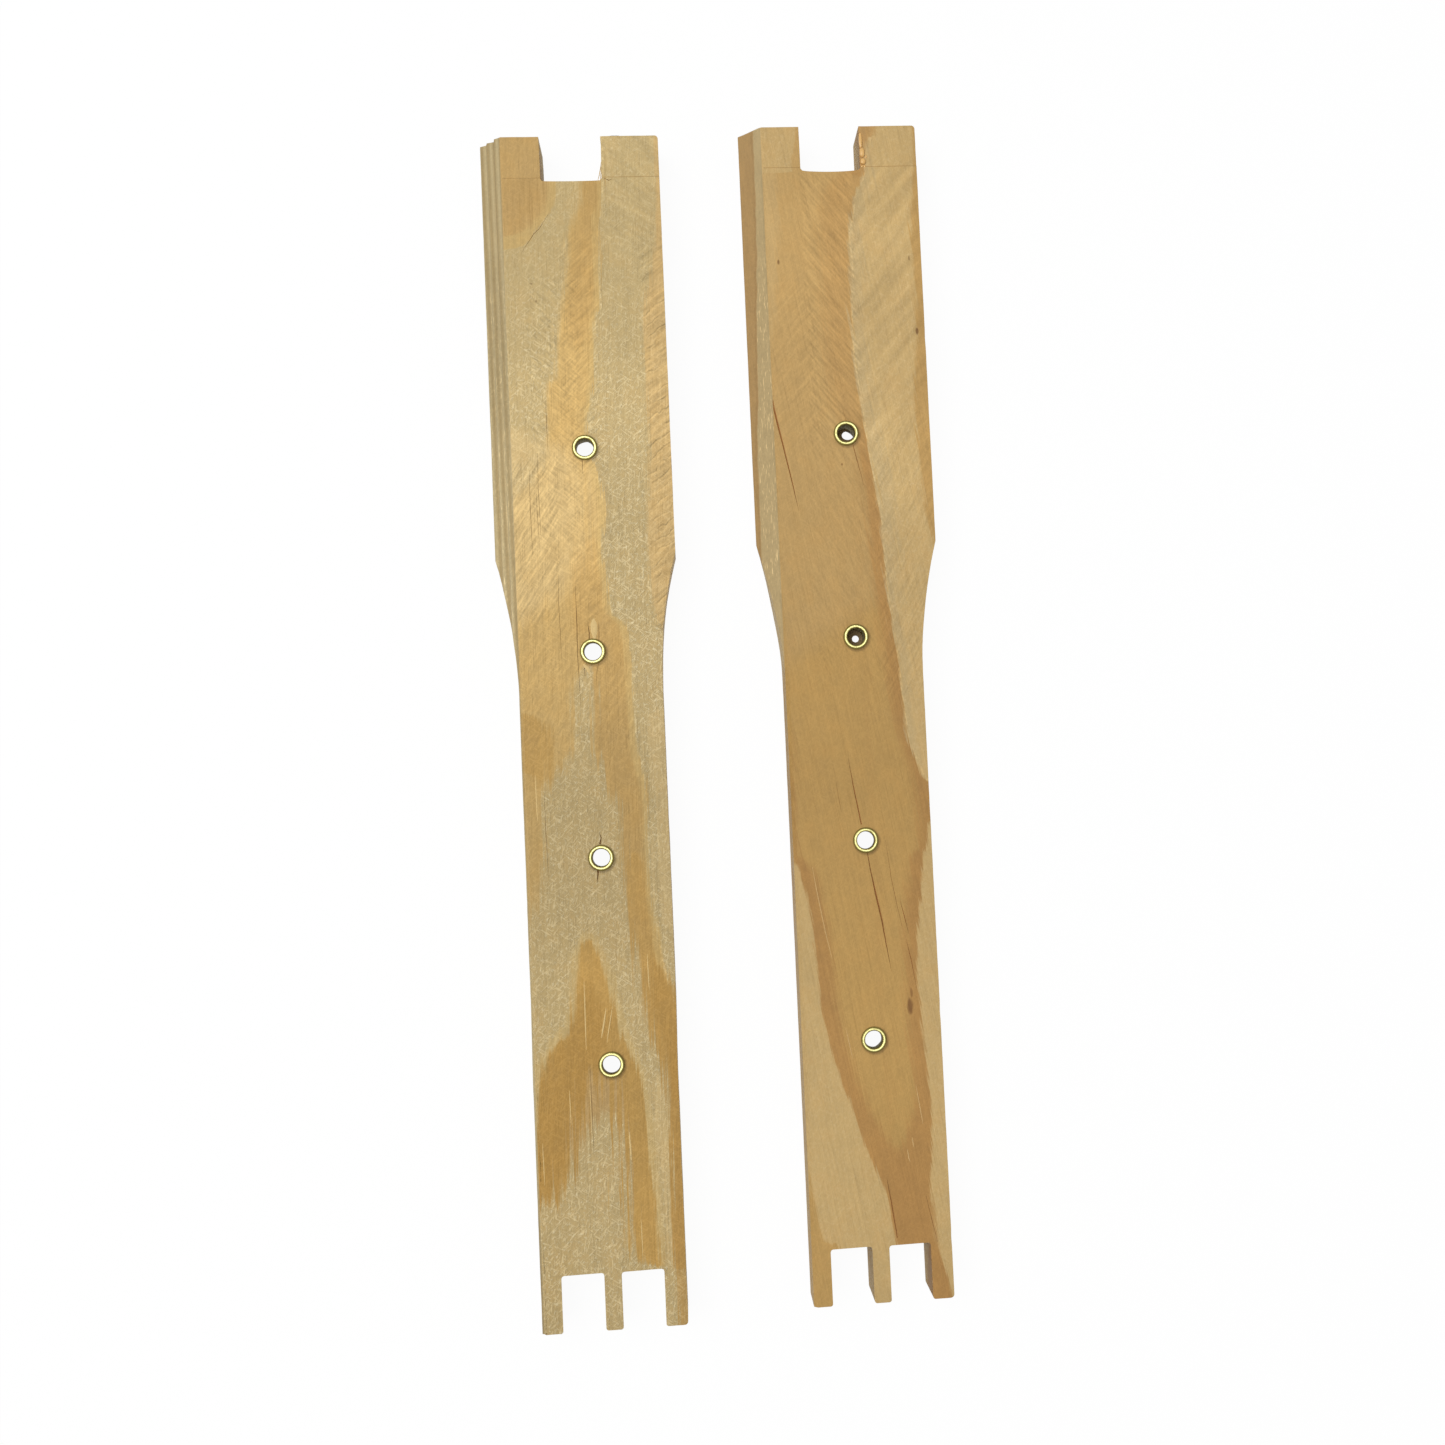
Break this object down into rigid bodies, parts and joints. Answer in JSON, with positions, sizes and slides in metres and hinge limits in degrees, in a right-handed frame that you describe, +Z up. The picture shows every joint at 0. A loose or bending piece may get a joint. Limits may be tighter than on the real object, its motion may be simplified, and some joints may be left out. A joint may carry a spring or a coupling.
{
  "type": "hive frame end bars",
  "caption": "Pair of flat pine side bars for a beekeeping frame, with a V edge and notch at the head, slotted teeth at the foot and brass eyelets for wire.",
  "frame": {"origin": "centre of the pair's box, on the surface that the bars lie on", "axes": "+Y along the bars towards the notched heads, +X from the left bar to the right bar, +Z up out of the faces that carry the eyelet rims"},
  "size_m": [0.087, 0.2332, 0.0099],
  "materials": {
    "pine_pale": "planed pale pine sapwood, raw",
    "pine_warm": "planed golden pine, raw",
    "eyelet_brass": "bright brass-plated, rolled"
  },
  "bodies": {
    "root": {"end_bar_left": "pine_pale", "end_bar_right": "pine_warm", "eyelet_left_1": "eyelet_brass", "eyelet_left_2": "eyelet_brass", "eyelet_left_3": "eyelet_brass", "eyelet_left_4": "eyelet_brass", "eyelet_right_1": "eyelet_brass", "eyelet_right_2": "eyelet_brass", "eyelet_right_3": "eyelet_brass", "eyelet_right_4": "eyelet_brass"}
  },
  "joints": []
}
